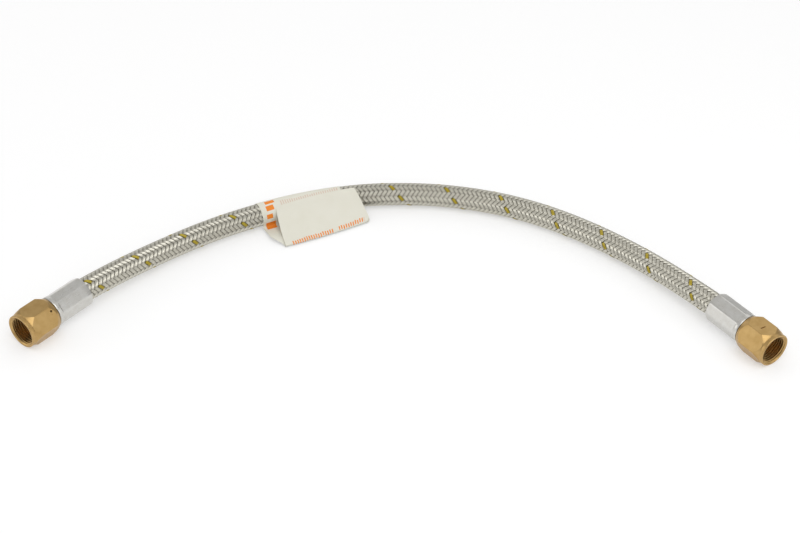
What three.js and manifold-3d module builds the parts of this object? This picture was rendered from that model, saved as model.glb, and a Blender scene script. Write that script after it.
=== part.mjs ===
import * as THREE from 'three';
import { mergeVertices } from 'three/addons/utils/BufferGeometryUtils.js';
import Module from 'manifold-3d';

// Flexible gas hose with a braided steel sleeve, lying in a flat arc.
// Millimetres and degrees. +X runs along the chord between the two ends, +Y towards the bow,
// +Z up from the surface it lies on.

// Gaps
const seatGap = 0.3; // between pieces that seat on or in each other
const nutBackGap = 0.4; // between the back of a nut and its ferrule
const headGap = 0.5; // round the flared head, inside the nut
const overcut = 1; // how far a cutting solid reaches past what it cuts

// Hose
const hoseDiameter = 15.4; // over the braid
const braidWall = 0.8;
const hoseBore = 9.5;
const hoseSides = 12;
const hoseSteps = 28;

// Sides of the turned pieces
const nutSegments = 36;
const tailSegments = 24;
const ferruleSegments = 48;
const wireSides = 8;
const grooveSides = 10;
const punchSides = 12;

// Hexagon swivel nut, internal thread for a 1/2 in flare
const acrossFlats = 22.2;
const nutLength = 23.4;
const threadBoreRadius = 8.9; // between the crests and roots of the thread
const threadLength = 13.4; // mouth to the start of the inner shoulder
const mouthRadius = 9.75; // countersink at the mouth
const collarRadius = 11; // round collar in front of the hexagon
const collarLength = 2.2;
const collarEdge = 0.35; // broken edge of the collar
const frontChamferAngle = 23; // cone at the front of the hexagon, from the axis
const backFaceRadius = 10.05; // round face left by the back chamfer
const backChamferAngle = 28; // from the axis
const neckHoleRadius = 6.35; // hole at the back, round the neck of the hose tail
const wireHoleRadius = 0.9; // punched hole through which the wire is fed
const wireHoleRise = 48; // angle of the hole above level, in the upper part of its flat
const wirePlace = 18.8; // retaining wire, from the mouth

// Hose tail, a turned insert that swivels in the nut and grips the hose
const lipWidth = 0.35; // flat rim of the flared seat
const flareWall = 1.54;
const tailBoreRadius = 3.2;
const collarWidth = 1.4; // shoulder that the hose butts against
const stemRadius = 3.85; // between the barbs
const barbHeight = 0.4;
const barbPitch = 3.2;
const barbLength = 2.6; // of its slope
const barbStart = 1; // from the end of the hose
const barbCount = 6;
const stemTip = 1.2; // plain tip past the last barb

// Retaining wire
const wireRadius = 0.8;

// Crimped ferrule
const ferruleLength = 27;
const ferruleWall = 1.95;
const endWall = 1.2; // inward lip at the nut end
const lipGrooveDepth = 1.05; // groove of the tail that the lip sits in
const plainRing = 2.6; // uncrimped ring beside the nut
const crimpDepth = 0.5;
const crimpCount = 8;
const crimpHalfAngle = 17.5; // half the angle that one pressed panel covers
const ribSlope = 1; // angle taken by each side of a rib
const mouthTaper = 1; // length of the taper at the hose end
const mouthStep = 0.3; // how far the taper comes in

// Label, one film folded over the hose and back on itself
const filmThickness = 0.35;
const filmStart = 140; // where the under layer starts on the hose, from level, towards the bow
const filmLeave = - 20; // where it leaves the front of the hose, below level
const flapTouch = [ 45, 50 ]; // where the flap comes back onto the hose, at the left and right ends
const flapEnd = [ 55, 82 ];
const filmDrop = [ 9, 4 ]; // pull of the hose's front on the under layer, straight down, at both ends
const filmSwing = 0.45; // share of the reach over which it swings out to the fold
const filmLift = [ 6, 2 ]; // how far it bows up on the way
const flapRise = 1.2; // bulge of the flap beside the fold
const flapSpring = 0.2; // share of the reach that the bulge takes
const flapRoll = 0.32; // share of the reach over which the flap rolls onto the hose
const foldHeight = 0.55; // the folded edge, over the surface
const foldRadius = 0.75;
const foldReach = [ 31.2, 21.4 ]; // from the hose's centre line
const foldBow = 3.2; // the straight fold lies this much further off at mid width, where the hose bows away
const underSpan = [ - 29.5, 28.5 ]; // under layer along the hose, from the label's place
const foldSpan = [ - 23.3, 47.5 ];
const flapSpan = [ - 18.7, 37.6 ];
const underSwing = [ 14, 30 ]; // travel from the fold over which the under layer's ends slide along
const foldCut = [ 0, 3.7 ]; // how much the rounded corner takes off each end of the fold
const foldCutLength = 5;
const labelPlace = 190; // from the left end of the braid, along the hose
const filmSteps = 60;
const filmRows = 8;

// Where the two mouths lie, how each end points, and how far its crimping dies were turned from upright
const ends = {
	left: { mouth: [-230.1, -76.7], towards: 180 + 52, crimpTurn: 6 },
	right: { mouth: [229.8, -79.5], towards: -53.5, crimpTurn: 22.5 },
};

// Route of the free hose, left to right: x, y, and lift from lying flat (0) to the nuts' height (1)
const freeRoute = [
	[-186, -22.5, 0.85],
	[-168.5, -4.5, 0.5],
	[-149, 13.7, 0.15],
	[-127, 31, 0.04],
	[-103, 46.2, 0],
	[-78, 59, 0],
	[-52, 68.8, 0],
	[-26, 75.3, 0],
	[0, 77.7, 0],
	[26, 77, 0],
	[52, 72.8, 0],
	[78, 64.8, 0],
	[103, 52.8, 0],
	[127, 37, 0.04],
	[149, 18.9, 0.15],
	[168.5, -1.2, 0.5],
	[185.5, -21.4, 0.85],
];

// Worked out from the above
const hoseRadius = hoseDiameter / 2;
const nutHeight = acrossFlats / 2;
const linerRadius = hoseRadius - braidWall - seatGap;
const neckRadius = neckHoleRadius - seatGap;
const ferruleStart = nutLength + nutBackGap;
const ferruleEnd = ferruleStart + ferruleLength;
const ferruleRadius = hoseRadius + seatGap + ferruleWall;
const shoulderStart = ferruleStart + endWall + seatGap;
const hoseStart = shoulderStart + collarWidth + seatGap;

const wasm = await Module();
wasm.setup();

const radians = THREE.MathUtils.degToRad;

// A closed mesh with shared vertices and its faces pointing out
function closed( source ) {

	const bare = source.clone();
	bare.deleteAttribute( 'normal' );
	bare.deleteAttribute( 'uv' );
	const geometry = mergeVertices( bare );
	const index = geometry.index.array;
	const a = new THREE.Vector3();
	const b = new THREE.Vector3();
	const c = new THREE.Vector3();
	const position = geometry.attributes.position;
	const triangles = [];
	let volume = 0;
	for ( let i = 0; i < index.length; i += 3 ) {

		const [ p, q, r ] = index.slice( i, i + 3 );
		if ( p === q || q === r || r === p ) continue;
		volume += a.fromBufferAttribute( position, p ).dot(
			b.fromBufferAttribute( position, q ).cross( c.fromBufferAttribute( position, r ) ) );
		triangles.push( p, q, r );

	}

	geometry.setIndex( volume < 0 ? triangles.reverse() : triangles );
	return geometry;

}

function toSolid( source ) {

	const geometry = closed( source );
	return new wasm.Manifold( new wasm.Mesh( {
		numProp: 3,
		vertProperties: new Float32Array( geometry.attributes.position.array ),
		triVerts: new Uint32Array( geometry.index.array ),
	} ) );

}

function fromSolid( solid ) {

	const mesh = solid.getMesh();
	const geometry = new THREE.BufferGeometry();
	geometry.setAttribute( 'position', new THREE.BufferAttribute( mesh.vertProperties, 3 ) );
	geometry.setIndex( new THREE.BufferAttribute( mesh.triVerts, 1 ) );
	return geometry;

}

// Turned piece: a closed outline of [distance from the mouth, radius], turned about the local X axis.
// The mouth lies at x = 0 and the hose towards -X.
function turned( outline, segments ) {

	const points = [ ...outline, outline[ 0 ] ].map(
		( [ place, radius ] ) => new THREE.Vector2( radius, - place ) );
	return new THREE.LatheGeometry( points, segments ).rotateZ( - Math.PI / 2 );

}

// Prism along the local X axis, from one distance from the mouth to another
function prism( shape, from, to ) {

	const geometry = new THREE.ExtrudeGeometry( shape, { depth: to - from, bevelEnabled: false } );
	return geometry.rotateY( - Math.PI / 2 ).translate( - from, 0, 0 );

}

function polygon( count, radius, turn ) {

	const corners = [];
	for ( let i = 0; i < count; i ++ ) {

		const angle = radians( turn ) + i * 2 * Math.PI / count;
		corners.push( new THREE.Vector2( radius * Math.cos( angle ), radius * Math.sin( angle ) ) );

	}

	return new THREE.Shape( corners );

}

// Swivel nut: a hexagon bar turned to a collar and cones, bored through, with a flat side down
function makeNut() {

	const cornerRadius = nutHeight / Math.cos( Math.PI / 6 );
	const past = cornerRadius + overcut;
	const frontCone = ( past - collarRadius ) / Math.tan( radians( frontChamferAngle ) );
	const backCone = ( past - backFaceRadius ) / Math.tan( radians( backChamferAngle ) );
	const shoulderEnd = threadLength + threadBoreRadius - neckHoleRadius;
	const turnedBar = turned( [
		[ 0, mouthRadius ],
		[ mouthRadius - threadBoreRadius, threadBoreRadius ],
		[ threadLength, threadBoreRadius ],
		[ shoulderEnd, neckHoleRadius ],
		[ nutLength, neckHoleRadius ],
		[ nutLength, backFaceRadius ],
		[ nutLength - backCone, past ],
		[ collarLength + frontCone, past ],
		[ collarLength, collarRadius ],
		[ collarEdge, collarRadius ],
		[ 0, collarRadius - collarEdge ],
	], nutSegments );
	const flatDown = 30; // turn of the hexagon that lays a flat on the surface
	const bar = prism( polygon( 6, cornerRadius, flatDown ), - overcut, nutLength + overcut );
	const wireRing = ( neckHoleRadius + neckRadius ) / 2;
	const grooveOutline = ringOutline( wirePlace, wireRing, wireRadius + seatGap, grooveSides );
	const grooveRing = turned( grooveOutline, nutSegments );
	const outwards = nutHeight + overcut - neckRadius;
	const wireHole = new THREE.CylinderGeometry( wireHoleRadius, wireHoleRadius, outwards, punchSides );
	wireHole.translate( 0, neckRadius + outwards / 2, 0 );
	wireHole.rotateX( radians( wireHoleRise ) ).translate( - wirePlace, 0, 0 );
	return fromSolid( toSolid( turnedBar ).intersect( toSolid( bar ) )
		.subtract( toSolid( grooveRing ) ).subtract( toSolid( wireHole ) ) );

}

function ringOutline( place, radius, sectionRadius, corners ) {

	return Array.from( { length: corners }, ( _, i ) => {

		const angle = 2 * Math.PI * ( i + 0.5 ) / corners;
		return [ place + sectionRadius * Math.cos( angle ), radius + sectionRadius * Math.sin( angle ) ];

	} );

}

// Hose tail: flared seat, neck with the wire's groove, groove for the ferrule's lip, shoulder and barbs
function makeTail() {

	const headRadius = threadBoreRadius - headGap;
	const slant = seatGap * Math.SQRT2;
	const backOfHead = threadLength + threadBoreRadius - slant; // place plus radius, along the back cone
	const frontOfHead = backOfHead - flareWall * Math.SQRT2;
	const rimRadius = headRadius - lipWidth;
	const headPlace = frontOfHead - rimRadius;
	const grooveFloor = neckRadius - lipGrooveDepth;
	const wireRing = ( neckHoleRadius + neckRadius ) / 2;
	const half = wireRadius + seatGap;
	const wireFloor = wireRing - half;
	const outline = [
		[ headPlace, rimRadius ],
		[ headPlace, headRadius ],
		[ backOfHead - headRadius, headRadius ],
		[ backOfHead - neckRadius, neckRadius ],
		[ wirePlace - half, neckRadius ],
		[ wirePlace - half / 2, wireFloor ],
		[ wirePlace + half / 2, wireFloor ],
		[ wirePlace + half, neckRadius ],
		[ ferruleStart - seatGap, neckRadius ],
		[ ferruleStart - seatGap, grooveFloor ],
		[ ferruleStart + endWall + seatGap, grooveFloor ],
		[ ferruleStart + endWall + seatGap, neckRadius ],
		[ shoulderStart + collarWidth, neckRadius ],
		[ shoulderStart + collarWidth, stemRadius ],
	];
	for ( let i = 0; i < barbCount; i ++ ) {

		const start = hoseStart + barbStart + i * barbPitch;
		outline.push( [ start, stemRadius ], [ start, stemRadius + barbHeight ] );
		outline.push( [ start + barbLength, stemRadius ] );

	}

	const tip = hoseStart + barbStart + barbCount * barbPitch + stemTip;
	outline.push( [ tip, stemRadius ], [ tip, tailBoreRadius ] );
	outline.push( [ frontOfHead - tailBoreRadius, tailBoreRadius ] );
	return closed( turned( outline, tailSegments ) );

}

function makeWire() {

	const wireRing = ( neckHoleRadius + neckRadius ) / 2;
	return closed( turned( ringOutline( wirePlace, wireRing, wireRadius, wireSides ), tailSegments ) );

}

// Ferrule: a turned shell with an inward lip, pressed by dies that leave ribs between them
function makeFerrule( crimpTurn ) {

	const inner = hoseRadius + seatGap;
	const lipRadius = neckRadius - lipGrooveDepth + seatGap;
	const shell = turned( [
		[ ferruleStart, lipRadius ],
		[ ferruleStart + endWall, lipRadius ],
		[ ferruleStart + endWall, inner ],
		[ ferruleEnd, inner ],
		[ ferruleEnd, ferruleRadius - mouthStep ],
		[ ferruleEnd - mouthTaper, ferruleRadius ],
		[ ferruleStart + collarEdge, ferruleRadius ],
		[ ferruleStart, ferruleRadius - collarEdge ],
	], ferruleSegments );
	const panelRadius = ( ferruleRadius - crimpDepth ) / Math.cos( radians( crimpHalfAngle ) );
	const corners = [];
	for ( let i = 0; i < crimpCount; i ++ ) {

		const middle = crimpTurn + i * 360 / crimpCount;
		const rib = 360 / crimpCount - crimpHalfAngle - ribSlope;
		const stops = [
			[ - crimpHalfAngle, panelRadius ],
			[ crimpHalfAngle, panelRadius ],
			[ crimpHalfAngle + ribSlope, ferruleRadius + overcut ],
			[ rib, ferruleRadius + overcut ],
		];
		for ( const [ angle, radius ] of stops ) {

			const at = radians( middle + angle );
			corners.push( new THREE.Vector2( radius * Math.cos( at ), radius * Math.sin( at ) ) );

		}

	}

	const dies = new THREE.Shape().absarc( 0, 0, ferruleRadius + 2 * overcut, 0, 2 * Math.PI );
	dies.holes.push( new THREE.Path( corners ) );
	const pressed = prism( dies, ferruleStart + plainRing, ferruleEnd + overcut );
	return fromSolid( toSolid( shell ).subtract( toSolid( pressed ) ) );

}

// A point on the axis of one end, at a distance from its mouth
function onAxis( end, place ) {

	const angle = radians( end.towards );
	return new THREE.Vector3(
		end.mouth[ 0 ] - place * Math.cos( angle ),
		end.mouth[ 1 ] - place * Math.sin( angle ),
		nutHeight );

}

function hoseRoute() {

	const straight = [ hoseStart, ( hoseStart + ferruleEnd ) / 2, ferruleEnd ];
	const free = freeRoute.map( ( [ x, y, lift ] ) =>
		new THREE.Vector3( x, y, hoseRadius + lift * ( nutHeight - hoseRadius ) ) );
	return new THREE.CatmullRomCurve3( [
		...straight.map( ( place ) => onAxis( ends.left, place ) ),
		...free,
		...straight.toReversed().map( ( place ) => onAxis( ends.right, place ) ),
	], false, 'centripetal' );

}

// Tube along the route, with a polygon section that has a corner at the bottom
function makeTube( route, outerRadius, innerRadius ) {

	const section = polygon( hoseSides, outerRadius, 0 );
	section.holes.push( polygon( hoseSides, innerRadius, 0 ) );
	return closed( new THREE.ExtrudeGeometry( section, { steps: hoseSteps, extrudePath: route } ) );

}

// Section of the folded film: t towards the front from the hose's axis, h up from the surface
function filmSection( row ) {

	const reach = THREE.MathUtils.lerp( ...foldReach, row ) + foldBow * 4 * row * ( 1 - row );
	const touchAngle = THREE.MathUtils.lerp( ...flapTouch, row );
	const endAngle = THREE.MathUtils.lerp( ...flapEnd, row );
	const drop = THREE.MathUtils.lerp( ...filmDrop, row );
	const lift = THREE.MathUtils.lerp( ...filmLift, row );
	const under = hoseRadius + seatGap + filmThickness / 2;
	const over = under + filmThickness + seatGap;
	const at = ( angle, radius ) => new THREE.Vector2(
		radius * Math.cos( radians( angle ) ), hoseRadius + radius * Math.sin( radians( angle ) ) );
	const along = ( angle, step ) => new THREE.Vector2(
		step * Math.sin( radians( angle ) ), - step * Math.cos( radians( angle ) ) );
	const leave = at( filmLeave, under );
	const touch = at( touchAngle, over );
	const fold = new THREE.Vector2( reach - foldRadius, foldHeight );
	const back = new THREE.Vector2( reach - foldRadius, foldHeight + 2 * foldRadius );
	const path = new THREE.CurvePath();
	path.add( new THREE.EllipseCurve( 0, hoseRadius, under, under,
		radians( filmStart ), radians( filmLeave ), true ) );
	path.add( new THREE.CubicBezierCurve( leave, leave.clone().add( along( filmLeave, drop ) ),
		fold.clone().add( new THREE.Vector2( - reach * filmSwing, lift ) ), fold ) );
	path.add( new THREE.EllipseCurve( fold.x, foldHeight + foldRadius, foldRadius, foldRadius,
		- Math.PI / 2, Math.PI / 2, false ) );
	const bulge = new THREE.Vector2( - reach * flapSpring, flapRise );
	path.add( new THREE.CubicBezierCurve( back, back.clone().add( bulge ),
		touch.clone().add( along( touchAngle, reach * flapRoll ) ), touch ) );
	path.add( new THREE.EllipseCurve( 0, hoseRadius, over, over,
		radians( touchAngle ), radians( endAngle ), false ) );
	return path;

}

// How far along the hose one end of the film lies, by the travel from the fold: under layer below zero
function filmSlide( side, travel, flapLength ) {

	const far = travel < 0 ? underSpan[ side ] : flapSpan[ side ];
	const share = travel < 0
		? THREE.MathUtils.smoothstep( - travel, 0, underSwing[ side ] )
		: travel / flapLength;
	const cut = Math.max( 0, 1 - Math.abs( travel ) / foldCutLength ) ** 2;
	return THREE.MathUtils.lerp( foldSpan[ side ], far, share ) - foldCut[ side ] * cut;

}

// Label: a flat film bent through the section, its rows sliding along the hose as the skew fold makes them
function makeLabel( route ) {

	const film = new THREE.BoxGeometry( 1, 1, 1, filmSteps, filmRows, 1 );
	const length = route.getLength();
	const position = film.attributes.position;
	for ( let i = 0; i < position.count; i ++ ) {

		const row = position.getY( i ) + 0.5;
		const place = position.getX( i ) + 0.5;
		const section = filmSection( row );
		const lengths = section.getCurveLengths();
		const foldAt = ( lengths[ 1 ] + lengths[ 2 ] ) / 2;
		const travel = place * lengths[ 4 ] - foldAt;
		const [ left, right ] = [ 0, 1 ].map( ( side ) => filmSlide( side, travel, lengths[ 4 ] - foldAt ) );
		const slide = THREE.MathUtils.lerp( left, right, row );
		const along = ( labelPlace + slide ) / length;
		const centre = route.getPointAt( along );
		const heading = route.getTangentAt( along );
		const point = section.getPointAt( place );
		const tangent = section.getTangentAt( place );
		const out = position.getZ( i ) * filmThickness;
		const t = point.x - tangent.y * out;
		const h = point.y + tangent.x * out;
		position.setXYZ( i, centre.x + heading.y * t, centre.y - heading.x * t, h );

	}

	return closed( film );

}

const finishes = {
	rubber: { color: 0x26241f, roughness: 0.8, metalness: 0 },
	braidedSteel: { color: 0xa9a598, roughness: 0.4, metalness: 1 },
	platedSteel: { color: 0xc2c1ba, roughness: 0.45, metalness: 1 },
	brass: { color: 0xb99759, roughness: 0.35, metalness: 1 },
	springWire: { color: 0x9a9a96, roughness: 0.35, metalness: 1 },
	film: { color: 0xe6e3d6, roughness: 0.5, metalness: 0 },
};

function part( name, geometry, finish ) {

	const material = new THREE.MeshStandardMaterial( { ...finishes[ finish ], flatShading: true } );
	const mesh = new THREE.Mesh( geometry, material );
	mesh.name = name;
	return mesh;

}

const hose = new THREE.Group();
const route = hoseRoute();
hose.add( part( 'inner_hose', makeTube( route, linerRadius, hoseBore / 2 ), 'rubber' ) );
hose.add( part( 'braided_sleeve', makeTube( route, hoseRadius, hoseRadius - braidWall ), 'braidedSteel' ) );
hose.add( part( 'label', makeLabel( route ), 'film' ) );

for ( const [ side, end ] of Object.entries( ends ) ) {

	const fitting = new THREE.Group();
	fitting.position.set( ...end.mouth, nutHeight );
	fitting.rotation.z = radians( end.towards );
	fitting.add( part( `${ side }_swivel_nut`, makeNut(), 'brass' ) );
	fitting.add( part( `${ side }_hose_tail`, makeTail(), 'brass' ) );
	fitting.add( part( `${ side }_retaining_wire`, makeWire(), 'springWire' ) );
	fitting.add( part( `${ side }_ferrule`, makeFerrule( end.crimpTurn ), 'platedSteel' ) );
	hose.add( fitting );

}

export default hose;
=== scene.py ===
import math

import bpy
import numpy as np
from mathutils import Matrix, Vector
from mathutils.geometry import interpolate_bezier


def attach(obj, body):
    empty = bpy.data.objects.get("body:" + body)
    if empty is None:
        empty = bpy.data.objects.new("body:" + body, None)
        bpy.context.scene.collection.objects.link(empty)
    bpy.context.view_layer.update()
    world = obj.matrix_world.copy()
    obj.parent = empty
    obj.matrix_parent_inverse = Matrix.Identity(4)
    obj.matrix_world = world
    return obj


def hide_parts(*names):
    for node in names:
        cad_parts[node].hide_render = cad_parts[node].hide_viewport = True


# Flexible gas hose with a braided steel sleeve, two brass swivel nuts and a film label.
# The hose's route is in metres. Each fitting is modelled in millimetres on a bench of its own,
# with its mouth at x = 0 and the hose towards -X, and is then set in its place.
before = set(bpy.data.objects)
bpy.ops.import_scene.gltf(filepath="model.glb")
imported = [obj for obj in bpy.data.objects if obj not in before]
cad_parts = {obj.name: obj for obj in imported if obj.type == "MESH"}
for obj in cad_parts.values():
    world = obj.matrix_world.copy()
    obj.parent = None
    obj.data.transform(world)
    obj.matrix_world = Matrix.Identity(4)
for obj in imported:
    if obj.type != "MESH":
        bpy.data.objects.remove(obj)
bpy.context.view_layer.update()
mm = 0.001

# The photograph's camera
camera = {
    "lens": 77.15,
    "sensor": 36,
    "place": (0.0005, -0.8643, 0.7021),
    "aim": (0.0005, 0.0085, 0),
    "roll": 1.18,
}

ends = {
    "left": {"mouth": (-0.2301, -0.0767), "towards": 232, "crimpTurn": 6},
    "right": {"mouth": (0.2298, -0.0795), "towards": -53.5, "crimpTurn": 22.5},
}
nutHeight = 0.0111
hoseRadius = 0.0077
straightPlaces = (0.0270, 0.0389, 0.0508)  # on each fitting's axis, from its mouth

# Route of the free hose: x, y, and lift from lying flat (0) to the nuts' height (1)
freeRoute = [
    (-0.186, -0.0225, 0.85),
    (-0.1685, -0.0045, 0.5),
    (-0.149, 0.0137, 0.15),
    (-0.127, 0.031, 0.04),
    (-0.103, 0.0462, 0),
    (-0.078, 0.059, 0),
    (-0.052, 0.0688, 0),
    (-0.026, 0.0753, 0),
    (0, 0.0777, 0),
    (0.026, 0.077, 0),
    (0.052, 0.0728, 0),
    (0.078, 0.0648, 0),
    (0.103, 0.0528, 0),
    (0.127, 0.037, 0.04),
    (0.149, 0.0189, 0.15),
    (0.1685, -0.0012, 0.5),
    (0.1855, -0.0214, 0.85),
]


def makeCamera():
    bpy.ops.object.camera_add(location=camera["place"])
    shot = bpy.context.object
    shot.data.lens = camera["lens"]
    shot.data.sensor_width = camera["sensor"]
    shot.data.clip_start = 0.01
    look = (Vector(camera["aim"]) - Vector(camera["place"])).to_track_quat("-Z", "Y")
    turn = look.to_matrix().to_4x4() @ Matrix.Rotation(math.radians(camera["roll"]), 4, "Z")
    shot.matrix_world = Matrix.Translation(camera["place"]) @ turn
    bpy.context.scene.camera = shot
    print("camera set")


def pick(piece):
    bpy.ops.object.select_all(action="DESELECT")
    piece.select_set(True)
    bpy.context.view_layer.objects.active = piece


def onAxis(end, place):
    angle = math.radians(end["towards"])
    x, y = end["mouth"]
    return Vector((x - place * math.cos(angle), y - place * math.sin(angle), nutHeight))


def routePoints():
    left = [onAxis(ends["left"], place) for place in straightPlaces]
    right = [onAxis(ends["right"], place) for place in straightPlaces]
    free = [Vector((x, y, hoseRadius + lift * (nutHeight - hoseRadius))) for x, y, lift in freeRoute]
    return left + free + right[::-1]


# Centre line: a smooth curve through the points, sampled at equal steps
class CentreLine:
    def __init__(self, points, step=0.0005, samples=200):
        whole = [2 * points[0] - points[1], *points, 2 * points[-1] - points[-2]]
        fine = []
        for a, b, c, d in zip(whole, whole[1:], whole[2:], whole[3:]):
            before, span, after = (math.sqrt((q - p).length) for p, q in ((a, b), (b, c), (c, d)))
            leave = ((b - a) / before - (c - a) / (before + span) + (c - b) / span) * span
            arrive = ((c - b) / span - (d - b) / (span + after) + (d - c) / after) * span
            fine += interpolate_bezier(b, b + leave / 3, c - arrive / 3, c, samples)[:-1]
        fine = np.array([*fine, points[-1]], float)
        along = np.concatenate([[0], np.cumsum(np.linalg.norm(np.diff(fine, axis=0), axis=1))])
        self.length = float(along[-1])
        self.along = np.linspace(0, self.length, round(self.length / step) + 1)
        self.centre = np.stack([np.interp(self.along, along, fine[:, k]) for k in range(3)], axis=1)
        heading = np.gradient(self.centre, axis=0)
        heading /= np.linalg.norm(heading, axis=1, keepdims=True)
        front = np.stack([heading[:, 1], -heading[:, 0], 0 * heading[:, 0]], axis=1)
        self.front = front / np.linalg.norm(front, axis=1, keepdims=True)
        self.up = np.cross(self.front, heading)

    def read(self, rows, place):
        return np.stack([np.interp(place, self.along, rows[:, k]) for k in range(3)], axis=-1)

    # A point round the hose: angle 0 faces the front and a right angle faces up
    def around(self, place, angle, radius):
        aside = np.cos(angle)[..., None] * self.read(self.front, place)
        above = np.sin(angle)[..., None] * self.read(self.up, place)
        return self.read(self.centre, place) + np.asarray(radius)[..., None] * (aside + above)


# Woven sleeve of flat strands, each over two and under two of those that cross it.
# tracerPlace is where the tracer strand faces the front of the bow at faceAngle.
braid = {
    "strandsEachWay": 12,
    "lead": 37.74,
    "faceAngle": 43,
    "tracerPlace": 30.6,
    "floatAngle": 13,
    "middle": 7.23,
    "swing": 0.26,
    "flatness": 2.0,
    "wires": 6,
    "wireWidth": 0.352,
    "wireRise": 0.11,
    "crown": 0.10,
    "under": 0.17,
    "stepsPerLead": 60,
    "strandsPerPiece": 6,
    "mapLength": 10,
    "mapShift": 7.3,
}


def strandSection():
    wires = braid["wires"]
    half = wires * braid["wireWidth"] / 2
    across = np.linspace(-half, half, 2 * wires + 1)
    top = braid["crown"] * (1 - (across / half) ** 2)
    top[1::2] += braid["wireRise"]
    edge = [(half, -braid["under"]), (-half, -braid["under"])]
    return np.array([*zip(across, top), *edge])


# Rings of one strand: hand is 1 for a right-handed helix and -1 for a left-handed one
def strandRings(line, hand, start, section):
    lead = braid["lead"] * mm
    steps = round(line.length / lead * braid["stepsPerLead"])
    place = np.linspace(0, line.length, steps + 1)
    angle = start - hand * 2 * np.pi * place / lead
    waves = braid["strandsEachWay"] // 2
    overAt = math.radians(braid["floatAngle"]) + (0 if hand > 0 else math.pi / waves)
    wave = np.cos(waves * (angle - overAt))
    lift = np.tanh(braid["flatness"] * wave) / math.tanh(braid["flatness"])
    radius = (braid["middle"] + braid["swing"] * lift) * mm
    lay = math.atan2(2 * math.pi * braid["middle"] * mm, lead)
    across = section[:, 0] * mm
    height = section[:, 1] * mm
    places = np.clip(place[:, None] + hand * math.sin(lay) * across, 0, line.length)
    angles = angle[:, None] + math.cos(lay) * across / radius[:, None]
    points = line.around(places, angles, radius[:, None] + height)
    return points, place / math.cos(lay), lift


def makeStrands(name, line, strands):
    section = strandSection()
    wide = len(section)
    points, faces, mapRows, lifts = [], [], [], []
    count = 0
    for number, (hand, start) in enumerate(strands):
        rings, along, lift = strandRings(line, hand, start, section)
        rows = len(rings)
        index = count + np.arange(rows * wide).reshape(rows, wide)
        index = index if hand > 0 else index[:, ::-1]
        nextOne = np.roll(index, -1, axis=1)
        quads = np.stack([index[:-1], nextOne[:-1], nextOne[1:], index[1:]], axis=-1)
        faces += quads.reshape(-1, 4).tolist()
        faces += [index[0, ::-1].tolist(), index[-1].tolist()]
        points.append(rings.reshape(-1, 3))
        across = np.clip(np.arange(wide) / (wide - 3), 0, 1)
        mapped = along[:, None] / mm / braid["mapLength"] + braid["mapShift"] * number
        pair = np.stack(np.broadcast_arrays(mapped, across), axis=-1)
        mapRows.append(pair.reshape(-1, 2))
        lifts.append(np.repeat(lift, wide))
        count += rows * wide
    mesh = bpy.data.meshes.new(name)
    mesh.from_pydata(np.concatenate(points), [], faces)
    corner = np.zeros(len(mesh.loops), np.int32)
    mesh.loops.foreach_get("vertex_index", corner)
    strandMap = mesh.uv_layers.new(name="strandMap")
    strandMap.data.foreach_set("uv", np.concatenate(mapRows)[corner].astype(np.float32).ravel())
    # How far the strand lies over (1) or under (-1) the strands that cross it; the wire materials paint
    # shade from it
    overUnder = mesh.attributes.new("overUnder", "FLOAT", "POINT")
    overUnder.data.foreach_set("value", np.concatenate(lifts).astype(np.float32))
    piece = bpy.data.objects.new(name, mesh)
    bpy.context.collection.objects.link(piece)
    pick(piece)
    bpy.ops.object.mode_set(mode="EDIT")
    bpy.ops.mesh.select_all(action="SELECT")
    bpy.ops.mesh.normals_make_consistent(inside=False)
    bpy.ops.object.mode_set(mode="OBJECT")
    bpy.ops.object.shade_smooth_by_angle(angle=math.radians(60))
    return piece


def makeBraid(line):
    each = braid["strandsEachWay"]
    apart = 2 * math.pi / each
    toTracer = 2 * math.pi * braid["tracerPlace"] / braid["lead"]
    first = math.radians(braid["faceAngle"]) + toTracer
    overAngle = math.radians(braid["floatAngle"])
    rights = [(1, first + i * apart) for i in range(each)]
    lefts = [(-1, overAngle + (i + 1) * apart) for i in range(each)]
    tracer, steel = rights[0], rights[1:] + lefts
    pieces = []
    for i in range(0, len(steel), braid["strandsPerPiece"]):
        name = f"braid_strands_{i // braid['strandsPerPiece'] + 1}"
        pieces.append(makeStrands(name, line, steel[i : i + braid["strandsPerPiece"]]))
        print(name, "woven,", len(pieces[-1].data.polygons), "faces")
    pieces.append(makeStrands("tracer_strand", line, [tracer]))
    return pieces


# Rubber hose inside the sleeve
liner = {"outer": 6.55, "inner": 4.75, "sides": 32, "step": 3}


def makeLiner(line):
    rings = round(line.length / mm / liner["step"])
    bpy.ops.mesh.primitive_grid_add(x_subdivisions=rings, y_subdivisions=2 * liner["sides"], size=2)
    tube = bpy.context.object
    tube.name = "rubber_liner"
    half = liner["sides"]
    grid = np.array([v.co for v in tube.data.vertices])
    place = (grid[:, 0] + 1) / 2 * line.length
    row = np.round((grid[:, 1] + 1) / 2 * 2 * half).astype(int)
    outside = row <= half
    turn = np.where(outside, row, row - half) * 2 * np.pi / half
    radius = np.where(outside, liner["outer"], liner["inner"]) * mm
    tube.data.vertices.foreach_set("co", line.around(place, turn, radius).astype(np.float32).ravel())
    tube.data.update()
    print(tube.name, "made")
    return tube


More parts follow.
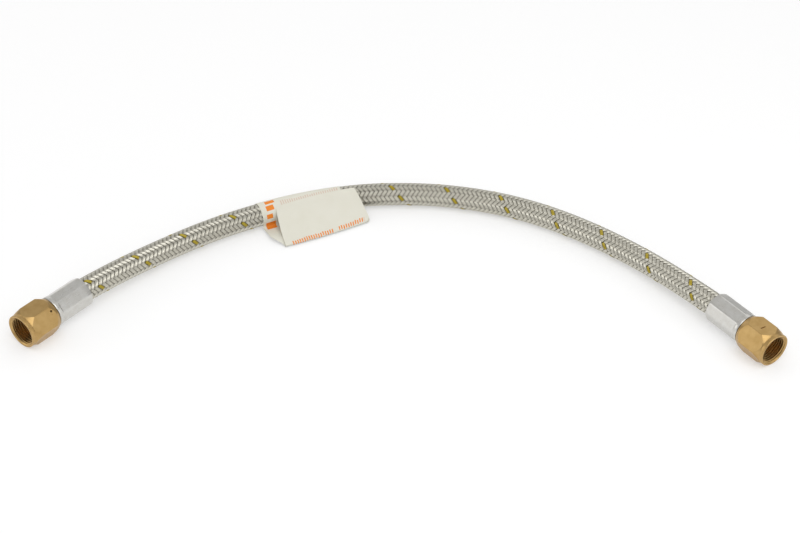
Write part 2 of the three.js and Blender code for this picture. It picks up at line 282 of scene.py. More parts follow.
# Turned pieces: an outline of (place from the mouth, radius), spun about the X axis
def spinOutline(name, outline, steps):
    bpy.ops.mesh.primitive_circle_add(vertices=len(outline), radius=1)
    piece = bpy.context.object
    piece.name = name
    for vertex, (place, radius) in zip(piece.data.vertices, outline):
        vertex.co = (-place, 0, radius)
    bpy.ops.object.mode_set(mode="EDIT")
    bpy.ops.mesh.select_all(action="SELECT")
    bpy.ops.mesh.spin(steps=steps, angle=2 * math.pi, center=(0, 0, 0), axis=(1, 0, 0))
    bpy.ops.mesh.select_all(action="SELECT")
    bpy.ops.mesh.remove_doubles(threshold=0.0001)
    bpy.ops.mesh.normals_make_consistent(inside=False)
    bpy.ops.object.mode_set(mode="OBJECT")
    return piece


def applyModifier(piece, kind, **settings):
    pick(piece)
    bpy.ops.object.modifier_add(type=kind)
    modifier = piece.modifiers[-1]
    for key, value in settings.items():
        setattr(modifier, key, value)
    bpy.ops.object.modifier_apply(modifier=modifier.name)


def cut(piece, tool, operation="DIFFERENCE"):
    applyModifier(piece, "BOOLEAN", object=tool, operation=operation, solver="EXACT")
    bpy.data.objects.remove(tool)


# Keeps the bench coordinates on the mesh for its patterns, then sets the piece in its place
def setInPlace(piece, end):
    bench = piece.data.attributes.new("bench", "FLOAT_VECTOR", "POINT")
    places = np.zeros(len(piece.data.vertices) * 3, np.float32)
    piece.data.vertices.foreach_get("co", places)
    bench.data.foreach_set("vector", places)
    x, y = end["mouth"]
    turn = Matrix.Rotation(math.radians(end["towards"]), 4, "Z")
    pick(piece)
    piece.matrix_world = Matrix.Translation((x, y, nutHeight)) @ turn @ Matrix.Scale(mm, 4)
    bpy.ops.object.transform_apply(location=True, rotation=True, scale=True)


nut = {
    "acrossFlats": 22.2,
    "length": 23.4,
    "cornerRound": 0.35,
    "collarRadius": 11.0,
    "collarLength": 2.2,
    "notchDepth": 0.18,
    "notchWidth": 0.5,
    "notchSlope": 0.12,
    "rimEdge": 0.3,
    "coneAngle": 23,
    "backRadius": 10.05,
    "backAngle": 28,
    "minorRadius": 8.7,
    "majorRadius": 9.53,
    "sinkRadius": 9.9,
    "sinkDepth": 0.15,
    "leadInStart": 0.5,
    "leadInEnd": 1.1,
    "threadEnd": 12.6,
    "shoulder": 13.4,
    "headRadius": 8.9,
    "neckRadius": 6.35,
    "edge": 0.14,
    "steps": 128,
    "pitch": 1.5875,
    "threadSteps": 64,
    "tapAhead": 1.2,
    "tapInside": 0.15,
}
punch = {"place": 18.8, "rise": 48, "radius": 0.72, "depth": 4.5}
dent = {"place": 18.5, "aside": 1.4, "radius": 0.5, "depth": 0.26}
dash = {"place": 11.1, "aside": -0.9, "slant": -6, "length": 4.1, "width": 0.8, "depth": 1.0}


def hexagonBar(length):
    corner = nut["acrossFlats"] / 2 / math.cos(math.pi / 6)
    bpy.ops.mesh.primitive_cylinder_add(
        vertices=6, radius=corner, depth=length + 2,
        location=(-length / 2, 0, 0), rotation=(0, math.pi / 2, 0),
    )
    bar = bpy.context.object
    bpy.ops.object.transform_apply(location=True, rotation=True, scale=True)
    bpy.ops.object.mode_set(mode="EDIT")
    bpy.ops.mesh.select_mode(type="EDGE")
    bpy.ops.mesh.select_all(action="DESELECT")
    bpy.ops.object.mode_set(mode="OBJECT")
    for edge in bar.data.edges:
        a, b = (bar.data.vertices[i].co for i in edge.vertices)
        edge.select = abs(a.x - b.x) > length
    bpy.ops.object.mode_set(mode="EDIT")
    bpy.ops.mesh.bevel(offset=nut["cornerRound"], segments=3, affect="EDGES")
    bpy.ops.object.mode_set(mode="OBJECT")
    return bar


# Thread tap: a ridge of the thread's 60 degree section wound on a right-handed helix
def threadTap():
    inner = nut["minorRadius"] - nut["tapInside"]
    crest = nut["pitch"] / 8 / 2
    root = crest + (nut["majorRadius"] - inner) * math.tan(math.radians(30))
    bpy.ops.mesh.primitive_circle_add(vertices=4, radius=1)
    tap = bpy.context.object
    section = [(-root, inner), (-crest, nut["majorRadius"]), (crest, nut["majorRadius"]), (root, inner)]
    for vertex, (x, radius) in zip(tap.data.vertices, section):
        vertex.co = (x + nut["tapAhead"], 0, radius)
    turns = math.ceil((nut["threadEnd"] + nut["tapAhead"]) / nut["pitch"])
    applyModifier(
        tap, "SCREW", axis="X", angle=-2 * math.pi, screw_offset=-nut["pitch"], iterations=turns,
        steps=nut["threadSteps"], render_steps=nut["threadSteps"], use_merge_vertices=False,
    )
    bpy.ops.object.mode_set(mode="EDIT")
    bpy.ops.mesh.select_all(action="SELECT")
    bpy.ops.mesh.fill_holes(sides=4)
    bpy.ops.mesh.normals_make_consistent(inside=False)
    bpy.ops.object.mode_set(mode="OBJECT")
    return tap


def makeNut(side):
    past = nut["acrossFlats"] / 2 / math.cos(math.pi / 6) + 1
    length, edge, collar = nut["length"], nut["rimEdge"], nut["collarRadius"]
    notchStart, notchFloor = nut["collarLength"], collar - nut["notchDepth"]
    coneStart = notchStart + nut["notchWidth"]
    front = coneStart + (past - collar) / math.tan(math.radians(nut["coneAngle"]))
    back = length - (past - nut["backRadius"]) / math.tan(math.radians(nut["backAngle"]))
    body = spinOutline(f"{side}_nut", [
        (0, 0),
        (0, collar - edge),
        (edge * 0.3, collar - edge * 0.3),
        (edge, collar),
        (notchStart, collar),
        (notchStart + nut["notchSlope"], notchFloor),
        (coneStart - nut["notchSlope"], notchFloor),
        (coneStart, collar),
        (front, past),
        (back, past),
        (length, nut["backRadius"]),
        (length, 0),
    ], nut["steps"])
    cut(body, hexagonBar(length), "INTERSECT")
    bore = spinOutline("bore", [
        (-1, 0),
        (-1, nut["sinkRadius"]),
        (nut["sinkDepth"], nut["sinkRadius"]),
        (nut["leadInStart"], nut["majorRadius"]),
        (nut["leadInEnd"], nut["minorRadius"]),
        (nut["threadEnd"], nut["minorRadius"]),
        (nut["threadEnd"], nut["headRadius"]),
        (nut["shoulder"], nut["headRadius"]),
        (nut["shoulder"] + nut["headRadius"] - nut["neckRadius"], nut["neckRadius"]),
        (length + 1, nut["neckRadius"]),
        (length + 1, 0),
    ], nut["steps"])
    cut(body, bore)
    pick(body)
    bpy.ops.object.mode_set(mode="EDIT")
    bpy.ops.mesh.select_all(action="SELECT")
    bpy.ops.mesh.remove_doubles(threshold=0.03)
    bpy.ops.object.mode_set(mode="OBJECT")
    applyModifier(
        body, "BEVEL", width=nut["edge"], segments=2, limit_method="ANGLE",
        angle_limit=math.radians(15), use_clamp_overlap=True,
    )
    cut(body, threadTap())
    cutPunches(body, side)
    pick(body)
    bpy.ops.object.shade_smooth_by_angle(angle=math.radians(28))
    applyModifier(body, "WEIGHTED_NORMAL", mode="FACE_AREA", weight=60, keep_sharp=True)
    setInPlace(body, ends[side])
    print(body.name, "made,", len(body.data.polygons), "faces")
    return body


# The hole that the retaining wire is fed through, a dent on the front flat, and a short stroke
# on top of the right nut
def cutPunches(body, side):
    flat = nut["acrossFlats"] / 2
    frontFlat = Matrix.Rotation(math.radians(30), 4, "X")
    rise = Matrix.Rotation(math.radians(punch["rise"]), 4, "X")
    bpy.ops.mesh.primitive_cylinder_add(vertices=24, radius=punch["radius"], depth=2 * punch["depth"])
    hole = bpy.context.object
    inwards = Matrix.Rotation(math.pi / 2, 4, "X")
    hole.matrix_world = rise @ Matrix.Translation((-punch["place"], flat, 0)) @ inwards
    cut(body, hole)
    bpy.ops.mesh.primitive_uv_sphere_add(segments=20, ring_count=10, radius=dent["radius"])
    ball = bpy.context.object
    outwards = flat + dent["radius"] - dent["depth"]
    ball.matrix_world = frontFlat @ Matrix.Translation((-dent["place"], outwards, dent["aside"]))
    cut(body, ball)
    if side == "right":
        bpy.ops.mesh.primitive_uv_sphere_add(segments=24, ring_count=16, radius=1)
        stroke = bpy.context.object
        size = Matrix.Diagonal((dash["width"] / 2, dash["length"] / 2, dash["depth"], 1))
        slant = Matrix.Rotation(math.radians(dash["slant"]), 4, "Z")
        stroke.matrix_world = Matrix.Translation((-dash["place"], dash["aside"], flat)) @ slant @ size
        cut(body, stroke)


# Hose tail: a neck with the wire's groove and the ferrule's slot, each given by its places
tail = {
    "rim": 8.05,
    "head": 8.4,
    "bore": 3.2,
    "lip": 11.65,
    "headBack": 13.45,
    "neck": 6.05,
    "groove": (17.7, 18.25, 19.35, 19.9),
    "grooveRadius": 5.1,
    "slot": (23.5, 25.3),
    "slotRadius": 5.0,
    "shoulderEnd": 26.7,
    "stem": 3.85,
    "tip": 48.4,
    "steps": 96,
}


def makeTail(side):
    lip, rim, bore, neck = tail["lip"], tail["rim"], tail["bore"], tail["neck"]
    grooveTop, grooveFloor, floorEnd, grooveEnd = tail["groove"]
    slotStart, slotEnd = tail["slot"]
    piece = spinOutline(f"{side}_tail", [
        (lip, rim),
        (lip + 0.08, tail["head"] - 0.1),
        (lip + 0.2, tail["head"]),
        (tail["headBack"], tail["head"]),
        (tail["headBack"] + tail["head"] - neck, neck),
        (grooveTop, neck),
        (grooveFloor, tail["grooveRadius"]),
        (floorEnd, tail["grooveRadius"]),
        (grooveEnd, neck),
        (slotStart, neck),
        (slotStart, tail["slotRadius"]),
        (slotEnd, tail["slotRadius"]),
        (slotEnd, neck),
        (tail["shoulderEnd"], neck),
        (tail["shoulderEnd"], tail["stem"]),
        (tail["tip"], tail["stem"]),
        (tail["tip"], bore),
        (lip + rim - bore + 0.35, bore),
        (lip + rim - bore, bore + 0.15),
        (lip + rim - bore - 0.3, bore + 0.45),
        (lip + 0.3, rim - 0.3),
        (lip + 0.1, rim - 0.14),
    ], tail["steps"])
    bpy.ops.object.shade_smooth_by_angle(angle=math.radians(32))
    setInPlace(piece, ends[side])
    print(piece.name, "turned")
    return piece


# Ferrule: eight panels pressed into a turned shell, with round ribs left between them
ferrule = {
    "start": 23.8,
    "end": 50.8,
    "radius": 9.95,
    "inner": 8.0,
    "lipRadius": 5.3,
    "lipWall": 1.2,
    "edge": 0.4,
    "bodyRows": (8, 13, 18, 22),
    "ring": 2.6,
    "ramp": 0.7,
    "pressed": 0.55,
    "panels": 8,
    "panelHalf": 16.4,
    "ribSlope": 3.8,
    "ribBlend": 0.5,
    "taper": 1.0,
    "step": 0.3,
    "stepsPerPanel": 36,
}


def smoothStep(low, high, value):
    share = min(max((value - low) / (high - low), 0), 1)
    return share * share * (3 - 2 * share)


def makeFerrule(side):
    f = ferrule
    start, end, radius, edge = f["start"], f["end"], f["radius"], f["edge"]
    rows = [start + f["ring"] + i * f["ramp"] / 4 for i in range(-1, 6)]
    mouthRows = [end - f["taper"] * share for share in (1.0, 0.75, 0.5, 0.3, 0.15)]
    outline = [
        (start, f["lipRadius"]),
        (start, radius - edge),
        (start + 0.3 * edge, radius - 0.3 * edge),
        (start + edge, radius),
        (start + 3 * edge, radius),
        *[(row, radius) for row in rows],
        *[(start + row, radius) for row in f["bodyRows"]],
        *[(row, radius) for row in mouthRows],
        (end - 0.06, radius),
        (end, radius - 0.3),
        (end, f["inner"] + 0.1),
        (end - 0.15, f["inner"]),
        (start + f["lipWall"], f["inner"]),
        (start + f["lipWall"], f["lipRadius"]),
    ]
    shell = spinOutline(f"{side}_ferrule_shell", outline, f["panels"] * f["stepsPerPanel"])
    period = 360 / f["panels"]
    for vertex in shell.data.vertices:
        x, y, z = vertex.co
        reach = math.hypot(y, z)
        if reach < f["inner"] + 0.2:
            continue
        angle = math.degrees(math.atan2(y, z))
        off = abs((angle - ends[side]["crimpTurn"] + period / 2) % period - period / 2)
        flat = (radius - f["pressed"]) / math.cos(math.radians(min(off, f["panelHalf"])))
        onRib = smoothStep(f["panelHalf"] - f["ribBlend"], f["panelHalf"] + f["ribSlope"], off)
        share = smoothStep(start + f["ring"], start + f["ring"] + f["ramp"], -x)
        deep = (radius - flat) * (1 - onRib) * share
        closing = f["step"] * smoothStep(end - f["taper"], end, -x)
        new = reach - deep - closing * (1 - 0.5 * deep / f["pressed"])
        vertex.co = (x, y * new / reach, z * new / reach)
    pick(shell)
    bpy.ops.object.shade_smooth_by_angle(angle=math.radians(40))
    setInPlace(shell, ends[side])
    print(shell.name, "pressed")
    return shell


# Label: one film, wrapped over the hose, folded in front of it and brought back onto it
label = {
    "place": 190,
    "thickness": 0.16,
    "seat": 0.2,
    "gap": 0.2,
    "start": 140,
    "leave": -20,
    "touch": (45, 50),
    "end": (55, 82),
    "drop": (9, 4),
    "swing": 0.45,
    "lift": (6, 2),
    "rise": 1.2,
    "spring": 0.2,
    "roll": 0.32,
    "foldHeight": 0.55,
    "foldRadius": 0.75,
    "reach": (31.2, 21.4),
    "bow": 3.2,
    "underSpan": (-29.5, 28.5),
    "foldSpan": (-23.3, 47.5),
    "flapSpan": (-18.7, 37.6),
    "underSwing": (14, 30),
    "foldCut": (0, 3.7),
    "foldCutLength": 5,
    "columns": 150,
    "rows": 60,
    "curveSteps": 60,
    "foldSteps": 24,
}


def blendSpan(span, row):
    return span[0] + (span[1] - span[0]) * row


def arcPoints(centre, radius, start, stop, count):
    angles = np.radians(np.linspace(start, stop, count))
    return np.stack([centre[0] + radius * np.cos(angles), centre[1] + radius * np.sin(angles)], axis=1)


# Section of the film: distance to the front from the hose's centre line, and height over the surface
def filmSection(row):
    reach, touchAngle, endAngle = (blendSpan(label[key], row) for key in ("reach", "touch", "end"))
    drop, lift = (blendSpan(label[key], row) for key in ("drop", "lift"))
    reach += label["bow"] * 4 * row * (1 - row)
    hose = hoseRadius / mm
    under = hose + label["seat"]
    over = under + label["thickness"] + label["gap"]
    leave, touch = math.radians(label["leave"]), math.radians(touchAngle)
    out = Vector((under * math.cos(leave), hose + under * math.sin(leave)))
    onto = Vector((over * math.cos(touch), hose + over * math.sin(touch)))
    low, ring = label["foldHeight"], label["foldRadius"]
    fold = Vector((reach - ring, low))
    back = Vector((reach - ring, low + 2 * ring))
    dropped = out + drop * Vector((math.sin(leave), -math.cos(leave)))
    rolled = onto + reach * label["roll"] * Vector((math.sin(touch), -math.cos(touch)))
    swung = fold + Vector((-reach * label["swing"], lift))
    sprung = back + Vector((-reach * label["spring"], label["rise"]))
    steps, few = label["curveSteps"], label["foldSteps"]
    layers = ((out, dropped, swung, fold), (back, sprung, rolled, onto))
    bezier = [interpolate_bezier(*layer, steps) for layer in layers]
    flat = [np.array([point[:2] for point in points]) for points in bezier]
    pieces = [
        arcPoints((0, hose), under, label["start"], label["leave"], steps),
        flat[0][1:],
        arcPoints((reach - ring, low + ring), ring, -90, 90, few)[1:],
        flat[1][1:],
        arcPoints((0, hose), over, touchAngle, endAngle, few)[1:],
    ]
    points = np.concatenate(pieces)
    along = np.concatenate([[0], np.cumsum(np.linalg.norm(np.diff(points, axis=0), axis=1))])
    foldAt = along[len(pieces[0]) + len(pieces[1]) + len(pieces[2]) // 2]
    return points, along, foldAt


# How far along the hose one end of the film lies, by the travel from the fold: under layer below zero
def filmSlide(side, travel, flapLength):
    far = label["underSpan" if travel < 0 else "flapSpan"][side]
    share = smoothStep(0, label["underSwing"][side], -travel) if travel < 0 else travel / flapLength
    cutShare = max(0, 1 - abs(travel) / label["foldCutLength"]) ** 2
    return blendSpan((label["foldSpan"][side], far), share) - label["foldCut"][side] * cutShare


def makeLabel(line):
    bpy.ops.mesh.primitive_grid_add(x_subdivisions=label["columns"], y_subdivisions=label["rows"], size=1)
    film = bpy.context.object
    film.name = "label_film"
    printMap = film.data.uv_layers[0]
    printMap.name = "printMap"
    sections = {}
    places, flatPlaces = [], []
    for vertex in film.data.vertices:
        share, row = vertex.co.x + 0.5, vertex.co.y + 0.5
        key = round(row, 4)
        if key not in sections:
            sections[key] = filmSection(row)
        points, along, foldAt = sections[key]
        t, h = (np.interp(share * along[-1], along, points[:, k]) for k in range(2))
        travel = share * along[-1] - foldAt
        slide = blendSpan([filmSlide(side, travel, along[-1] - foldAt) for side in range(2)], row)
        place = (label["place"] + slide) * mm
        centre = line.read(line.centre, place)
        front = line.read(line.front, place)
        places.append((centre[0] + front[0] * t * mm, centre[1] + front[1] * t * mm, h * mm))
        flatPlaces.append((travel, slide))
    for vertex, place in zip(film.data.vertices, places):
        vertex.co = place
    for loop in film.data.loops:
        printMap.data[loop.index].uv = flatPlaces[loop.vertex_index]
    applyModifier(film, "SOLIDIFY", thickness=label["thickness"] * mm, offset=0, use_even_offset=True)
    pick(film)
    bpy.ops.object.mode_set(mode="EDIT")
    bpy.ops.mesh.select_all(action="SELECT")
    bpy.ops.mesh.normals_make_consistent(inside=False)
    bpy.ops.object.mode_set(mode="OBJECT")
    bpy.ops.object.shade_smooth_by_angle(angle=math.radians(50))
    print("label folded,", len(film.data.polygons), "faces")
    return film


# Materials
def linear(code):
    values = [int(code[i : i + 2], 16) / 255 for i in (1, 3, 5)]
    return [v / 12.92 if v <= 0.04045 else ((v + 0.055) / 1.055) ** 2.4 for v in values] + [1]


def addNode(tree, kind, inputs=None, **settings):
    node = tree.nodes.new(kind)
    for key, value in settings.items():
        setattr(node, key, value)
    for key, value in (inputs or {}).items():
        if isinstance(value, bpy.types.NodeSocket):
            tree.links.new(value, node.inputs[key])
        else:
            node.inputs[key].default_value = value
    return node


def newMaterial(name, **shaderInputs):
    material = bpy.data.materials.new(name)
    material.use_nodes = True
    tree = material.node_tree
    shader = tree.nodes["Principled BSDF"]
    for key, value in shaderInputs.items():
        shader.inputs[key.replace("_", " ")].default_value = value
    return material, tree, shader


def link(tree, fromSocket, shader, key):
    tree.links.new(fromSocket, shader.inputs[key])


# Drawn stainless wire in flat strands, side by side: own colour on top, painted shade where it dips under
def wovenWire(name, light, underShadeColour, roughness):
    material, tree, shader = newMaterial(name, Metallic=1, Roughness=roughness)
    uv = addNode(tree, "ShaderNodeUVMap", uv_map="strandMap")
    lift = addNode(tree, "ShaderNodeAttribute", attribute_name="overUnder")
    long = addNode(tree, "ShaderNodeMapping", {"Vector": uv.outputs[0], "Scale": (0.8, 6, 1)})
    streaks = addNode(tree, "ShaderNodeTexNoise", {"Vector": long.outputs[0], "Scale": 3.0, "Detail": 3})
    ramp = addNode(tree, "ShaderNodeMapRange", {
        "Value": streaks.outputs["Fac"], "From Min": 0.3, "From Max": 0.7})
    # Painted shade: the colour darkens towards the shade colour as the strand dips under the others
    depth = addNode(tree, "ShaderNodeMapRange", {
        "Value": lift.outputs["Fac"], "From Min": -0.9, "From Max": 0.9, "To Min": 0.0, "To Max": 0.75})
    faint = addNode(tree, "ShaderNodeMath", {0: ramp.outputs[0], 1: 0.3}, operation="MULTIPLY")
    fac = addNode(tree, "ShaderNodeMath", {
        0: depth.outputs[0], 1: faint.outputs[0]}, operation="ADD", use_clamp=True)
    mix = addNode(tree, "ShaderNodeMix", {
        "Factor": fac.outputs[0], "A": linear(underShadeColour), "B": linear(light)}, data_type="RGBA")
    link(tree, mix.outputs["Result"], shader, "Base Color")
    return material


# Lacquered wire, darker at the strand's edges and where it dips under the others: painted shade
def tracerWire():
    material, tree, shader = newMaterial("lacqueredTracerWire", Metallic=0.2, Roughness=0.42)
    uv = addNode(tree, "ShaderNodeUVMap", uv_map="strandMap")
    split = addNode(tree, "ShaderNodeSeparateXYZ", {"Vector": uv.outputs[0]})
    streaks = addNode(tree, "ShaderNodeTexNoise", {"Vector": uv.outputs[0], "Scale": 5.0, "Detail": 2})
    away = addNode(tree, "ShaderNodeMath", {0: split.outputs["Y"], 1: 0.5}, operation="SUBTRACT")
    aside = addNode(tree, "ShaderNodeMath", {0: away.outputs[0]}, operation="ABSOLUTE")
    uneven = addNode(tree, "ShaderNodeMath", {
        0: streaks.outputs["Fac"], 1: 0.14, 2: aside.outputs[0]}, operation="MULTIPLY_ADD")
    # Painted shade along the strand's edges, with an uneven border
    edge = addNode(tree, "ShaderNodeMapRange", {
        "Value": uneven.outputs[0], "From Min": 0.46, "From Max": 0.58})
    lift = addNode(tree, "ShaderNodeAttribute", attribute_name="overUnder")
    # Painted shade where the strand dips under the others
    dippedShade = addNode(tree, "ShaderNodeMapRange", {
        "Value": lift.outputs["Fac"], "From Min": -0.3, "From Max": 0.5, "To Min": 1, "To Max": 0})
    dark = addNode(tree, "ShaderNodeMath", {0: edge.outputs[0], 1: dippedShade.outputs[0]}, operation="MAXIMUM")
    mix = addNode(tree, "ShaderNodeMix", {
        "Factor": dark.outputs[0], "A": linear("#B4A030"), "B": linear("#4A4628")}, data_type="RGBA")
    link(tree, mix.outputs["Result"], shader, "Base Color")
    return material


# Machined brass: fine streaks along the bar and a faint brown film in clouds
def machinedBrass(name, light, dark, roughness):
    material, tree, shader = newMaterial(name, Metallic=1, Roughness=roughness)
    place = addNode(tree, "ShaderNodeAttribute", attribute_name="bench")
    along = addNode(tree, "ShaderNodeMapping", {
        "Vector": place.outputs["Vector"], "Scale": (0.12, 1.4, 1.4)})
    drawn = addNode(tree, "ShaderNodeTexNoise", {"Vector": along.outputs[0], "Scale": 2.2, "Detail": 5})
    cloud = addNode(tree, "ShaderNodeTexNoise", {
        "Vector": place.outputs["Vector"], "Scale": 0.22, "Detail": 3})
    stain = addNode(tree, "ShaderNodeMapRange", {
        "Value": cloud.outputs["Fac"], "From Min": 0.35, "From Max": 0.7})
    mix = addNode(tree, "ShaderNodeMix", {
        "Factor": stain.outputs[0], "A": linear(light), "B": linear(dark)}, data_type="RGBA")
    rough = addNode(tree, "ShaderNodeMapRange", {
        "Value": drawn.outputs["Fac"], "To Min": roughness - 0.08, "To Max": roughness + 0.1})
    bump = addNode(tree, "ShaderNodeBump", {
        "Height": drawn.outputs["Fac"], "Strength": 0.06, "Distance": 0.0001})
    link(tree, mix.outputs["Result"], shader, "Base Color")
    link(tree, rough.outputs[0], shader, "Roughness")
    link(tree, bump.outputs[0], shader, "Normal")
    return material


# Zinc-plated steel, pressed: pale satin grey with faint lengthwise marks of the dies
def platedSteel():
    material, tree, shader = newMaterial("zincPlatedSteel", Metallic=1, Roughness=0.36)
    place = addNode(tree, "ShaderNodeAttribute", attribute_name="bench")
    along = addNode(tree, "ShaderNodeMapping", {"Vector": place.outputs["Vector"], "Scale": (0.08, 1, 1)})
    marks = addNode(tree, "ShaderNodeTexNoise", {"Vector": along.outputs[0], "Scale": 2.4, "Detail": 4})
    cloud = addNode(tree, "ShaderNodeTexNoise", {
        "Vector": place.outputs["Vector"], "Scale": 0.35, "Detail": 4})
    fac = addNode(tree, "ShaderNodeMapRange", {
        "Value": cloud.outputs["Fac"], "From Min": 0.3, "From Max": 0.7})
    mix = addNode(tree, "ShaderNodeMix", {
        "Factor": fac.outputs[0], "A": linear("#D2D1CD"), "B": linear("#C9C7C1")}, data_type="RGBA")
    rough = addNode(tree, "ShaderNodeMapRange", {
        "Value": marks.outputs["Fac"], "To Min": 0.24, "To Max": 0.34})
    bump = addNode(tree, "ShaderNodeBump", {
        "Height": marks.outputs["Fac"], "Strength": 0.05, "Distance": 0.0001})
    link(tree, mix.outputs["Result"], shader, "Base Color")
    link(tree, rough.outputs[0], shader, "Roughness")
    link(tree, bump.outputs[0], shader, "Normal")
    return material


def springWire():
    material, tree, shader = newMaterial("drawnSpringWire", Metallic=1, Roughness=0.35)
    place = addNode(tree, "ShaderNodeTexCoord")
    marks = addNode(tree, "ShaderNodeTexNoise", {
        "Vector": place.outputs["Object"], "Scale": 900, "Detail": 2})
    mix = addNode(tree, "ShaderNodeMix", {
        "Factor": marks.outputs["Fac"], "A": linear("#A6A6A2"), "B": linear("#7F7F7B")}, data_type="RGBA")
    link(tree, mix.outputs["Result"], shader, "Base Color")
    return material


def hoseRubber():
    material, tree, shader = newMaterial("extrudedNitrileRubber", Roughness=0.75)
    place = addNode(tree, "ShaderNodeTexCoord")
    grain = addNode(tree, "ShaderNodeTexNoise", {
        "Vector": place.outputs["Object"], "Scale": 1500, "Detail": 3})
    mix = addNode(tree, "ShaderNodeMix", {
        "Factor": grain.outputs["Fac"], "A": linear("#1E1C19"), "B": linear("#33302A")}, data_type="RGBA")
    link(tree, mix.outputs["Result"], shader, "Base Color")
    return material


# Cream polypropylene film, matt, with plain orange blocks and rows of bars. Its map's U is
# the travel across the fold, which is at 0, and V lies along the hose, both in millimetres.
ink = {
    "blocks": [
        (-43.6, 1.6, -21.5, 3.3),
        (-38.8, 1.8, -22.8, 2.8),
        (-33.2, 1.6, -24.3, 2.2),
        (-25.2, 3.2, -23.6, 3.6),
    ],
    "foldBars": {
        "centre": 1.9,
        "half": 1.65,
        "slant": 0.033,
        "pitch": 1.9,
        "spans": [(-0.4, 17.2), (31.5, 10.5)],
    },
    "paleBars": {
        "centre": -37.0,
        "half": 1.8,
        "slant": 0.18,
        "pitch": 1.6,
        "spans": [(6, 21)],
    },
    "uneven": 0.5,
    "paleStrength": 0.75,
    "solidStrength": 0.97,
}


# Mask of a rectangle: middle and half size in U, then in V
def inkBlock(tree, u, v, block):
    inU = addNode(tree, "ShaderNodeMath", {0: u, 1: block[0], 2: block[1]}, operation="COMPARE")
    inV = addNode(tree, "ShaderNodeMath", {0: v, 1: block[2], 2: block[3]}, operation="COMPARE")
    inBoth = addNode(tree, "ShaderNodeMath", {0: inU.outputs[0], 1: inV.outputs[0]}, operation="MULTIPLY")
    return inBoth.outputs[0]


def inkSum(tree, masks):
    total = masks[0]
    for mask in masks[1:]:
        total = addNode(tree, "ShaderNodeMath", {0: total, 1: mask}, operation="MAXIMUM").outputs[0]
    return total


# Mask of a row of upright bars, each shifted by chance
def inkBars(tree, u, v, row):
    level = addNode(tree, "ShaderNodeMath", {0: v, 1: -row["slant"], 2: u}, operation="MULTIPLY_ADD")
    cells = addNode(tree, "ShaderNodeMath", {0: v, 1: row["pitch"]}, operation="DIVIDE")
    share = addNode(tree, "ShaderNodeMath", {0: cells.outputs[0]}, operation="FRACT")
    bar = addNode(tree, "ShaderNodeMath", {0: share.outputs[0], 1: 0.5}, operation="LESS_THAN")
    number = addNode(tree, "ShaderNodeMath", {0: cells.outputs[0]}, operation="FLOOR")
    chance = addNode(tree, "ShaderNodeTexWhiteNoise", {"W": number.outputs[0]}, noise_dimensions="1D")
    shift = addNode(tree, "ShaderNodeMath", {
        0: chance.outputs["Value"], 1: ink["uneven"] * row["half"]}, operation="MULTIPLY")
    moved = addNode(tree, "ShaderNodeMath", {0: level.outputs[0], 1: shift.outputs[0]}, operation="ADD")
    blocks = [(row["centre"], row["half"], *span) for span in row["spans"]]
    groups = inkSum(tree, [inkBlock(tree, moved.outputs[0], v, block) for block in blocks])
    return addNode(tree, "ShaderNodeMath", {0: groups, 1: bar.outputs[0]}, operation="MULTIPLY").outputs[0]


def printedFilm():
    material, tree, shader = newMaterial("creamPolypropyleneFilm", Roughness=0.55, Specular_IOR_Level=0.35)
    uv = addNode(tree, "ShaderNodeUVMap", uv_map="printMap")
    split = addNode(tree, "ShaderNodeSeparateXYZ", {"Vector": uv.outputs[0]})
    u, v = split.outputs["X"], split.outputs["Y"]
    cloud = addNode(tree, "ShaderNodeTexNoise", {"Vector": uv.outputs[0], "Scale": 0.08, "Detail": 3})
    cream = addNode(tree, "ShaderNodeMix", {
        "Factor": cloud.outputs["Fac"], "A": linear("#E9E7DB"), "B": linear("#E0DDCD")}, data_type="RGBA")
    paleBars = inkBars(tree, u, v, ink["paleBars"])
    pale = addNode(tree, "ShaderNodeMath", {0: paleBars, 1: ink["paleStrength"]}, operation="MULTIPLY")
    rosy = addNode(tree, "ShaderNodeMix", {
        "Factor": pale.outputs[0], "A": cream.outputs["Result"], "B": linear("#D9BFAE")}, data_type="RGBA")
    solid = inkSum(tree, [inkBlock(tree, u, v, block) for block in ink["blocks"]])
    strong = inkSum(tree, [solid, inkBars(tree, u, v, ink["foldBars"])])
    worn = addNode(tree, "ShaderNodeMath", {0: strong, 1: ink["solidStrength"]}, operation="MULTIPLY")
    orange = addNode(tree, "ShaderNodeMix", {
        "Factor": worn.outputs[0], "A": rosy.outputs["Result"], "B": linear("#F0860C")}, data_type="RGBA")
    link(tree, orange.outputs["Result"], shader, "Base Color")
    return material


# Studio: a white floor, a pale sky that is brighter overhead, and soft boxes in front,
# at both sides and behind
studio = {
    "floorSize": 8,
    "floorDrop": 0.0003,
    "floorPaint": "#D2D2D2",
    "floorGlow": 0.40,
    "horizon": 0.36,
    "zenith": 0.75,
    "boxes": {
        "frontBox": {"place": (0.15, -0.6, 1.15), "size": 1.2, "power": 6.2},
        "leftBox": {"place": (-1.3, -0.05, 0.35), "size": 0.7, "power": 2.0},
        "rightBox": {"place": (1.15, -0.6, 0.42), "size": 0.8, "power": 1.8},
        "backBox": {"place": (0.6, 0.9, 0.85), "size": 0.6, "power": 0.6},
        "lowBackBox": {"place": (-0.4, 1.0, 0.3), "size": 0.6, "power": 0.7},
    },
}


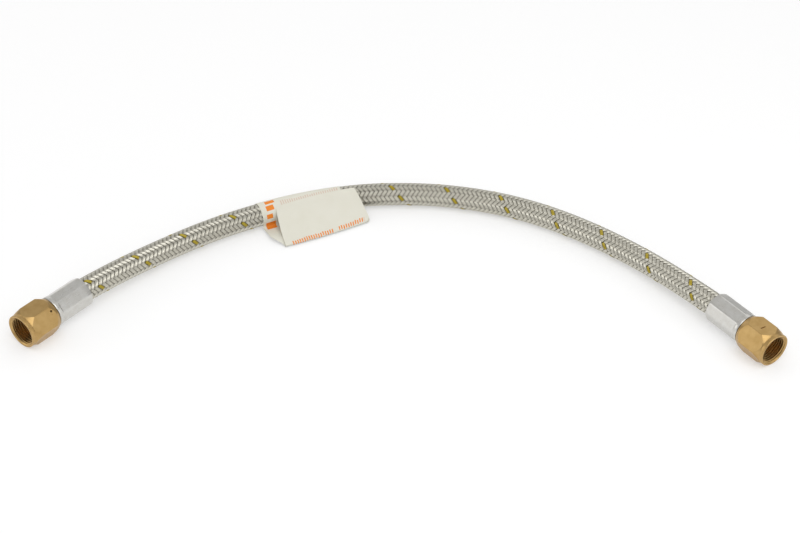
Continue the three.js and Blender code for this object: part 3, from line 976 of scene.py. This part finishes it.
def makeStage():
    bpy.ops.mesh.primitive_plane_add(size=studio["floorSize"], location=(0, 0, -studio["floorDrop"]))
    floor = bpy.context.object
    floor.name = "floor"
    material = bpy.data.materials.new("whiteSweep")
    material.use_nodes = True
    tree = material.node_tree
    tree.nodes.clear()
    path = addNode(tree, "ShaderNodeLightPath")
    seen = addNode(tree, "ShaderNodeMath", {
        0: path.outputs["Is Camera Ray"], 1: path.outputs["Is Glossy Ray"]}, operation="ADD")
    through = addNode(tree, "ShaderNodeMath", {
        0: seen.outputs[0], 1: path.outputs["Is Transmission Ray"]}, operation="ADD", use_clamp=True)
    glow = addNode(tree, "ShaderNodeMath", {
        0: through.outputs[0], 1: studio["floorGlow"]}, operation="MULTIPLY")
    paint = addNode(tree, "ShaderNodeBsdfDiffuse", {"Color": linear(studio["floorPaint"])})
    light = addNode(tree, "ShaderNodeEmission", {"Color": (1, 1, 1, 1), "Strength": glow.outputs[0]})
    both = addNode(tree, "ShaderNodeAddShader", {0: paint.outputs[0], 1: light.outputs[0]})
    addNode(tree, "ShaderNodeOutputMaterial", {"Surface": both.outputs[0]})
    floor.data.materials.append(material)

    world = bpy.data.worlds.new("studio")
    bpy.context.scene.world = world
    world.use_nodes = True
    tree = world.node_tree
    tree.nodes.clear()
    path = addNode(tree, "ShaderNodeLightPath")
    way = addNode(tree, "ShaderNodeTexCoord")
    split = addNode(tree, "ShaderNodeSeparateXYZ", {"Vector": way.outputs["Generated"]})
    level = addNode(tree, "ShaderNodeMapRange", {
        "Value": split.outputs["Z"], "To Min": studio["horizon"], "To Max": studio["zenith"]})
    sky = addNode(tree, "ShaderNodeBackground", {"Color": (1, 1, 1, 1), "Strength": level.outputs[0]})
    white = addNode(tree, "ShaderNodeBackground", {"Color": (1, 1, 1, 1), "Strength": 1})
    mix = addNode(tree, "ShaderNodeMixShader", {
        "Fac": path.outputs["Is Camera Ray"], 1: sky.outputs[0], 2: white.outputs[0]})
    addNode(tree, "ShaderNodeOutputWorld", {"Surface": mix.outputs[0]})

    for name, box in studio["boxes"].items():
        bpy.ops.object.light_add(type="AREA", location=box["place"])
        lamp = bpy.context.object
        lamp.name = name
        lamp.data.size = box["size"]
        lamp.data.energy = box["power"]
        lamp.rotation_euler = (-Vector(box["place"])).to_track_quat("-Z", "Y").to_euler()
    bpy.context.scene.view_settings.view_transform = "Standard"
    print("studio lit")


makeCamera()
line = CentreLine(routePoints())
print("centre line", round(line.length, 4), "m")

braidPieces = makeBraid(line)
linerPiece = makeLiner(line)
nuts = {side: makeNut(side) for side in ends}
tails = {side: makeTail(side) for side in ends}
ferrules = {side: makeFerrule(side) for side in ends}
film = makeLabel(line)

steelWire = wovenWire("wovenStainlessWire", "#DAD7CB", "#655F54", 0.36)
yellowWire = tracerWire()
brass = machinedBrass("machinedBrass", "#C0A06A", "#B4935D", 0.34)
turnedBrass = machinedBrass("turnedBrass", "#B98F4E", "#A57B3C", 0.3)
plated = platedSteel()

for piece in braidPieces:
    piece.data.materials.append(yellowWire if piece.name == "tracer_strand" else steelWire)
    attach(piece, "hose")
    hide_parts("braided_sleeve")
linerPiece.data.materials.append(hoseRubber())
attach(linerPiece, "hose")
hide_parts("inner_hose")
for side in ends:
    nuts[side].data.materials.append(brass)
    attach(nuts[side], f"{side}_nut")
    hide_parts(f"{side}_swivel_nut")
    tails[side].data.materials.append(turnedBrass)
    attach(tails[side], "hose")
    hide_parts(f"{side}_hose_tail")
    ferrules[side].data.materials.append(plated)
    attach(ferrules[side], "hose")
    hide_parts(f"{side}_ferrule")
    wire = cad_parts[f"{side}_retaining_wire"]
    wire.data.materials.clear()
    wire.data.materials.append(springWire())
film.data.materials.append(printedFilm())
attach(film, "hose")
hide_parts("label")

makeStage()
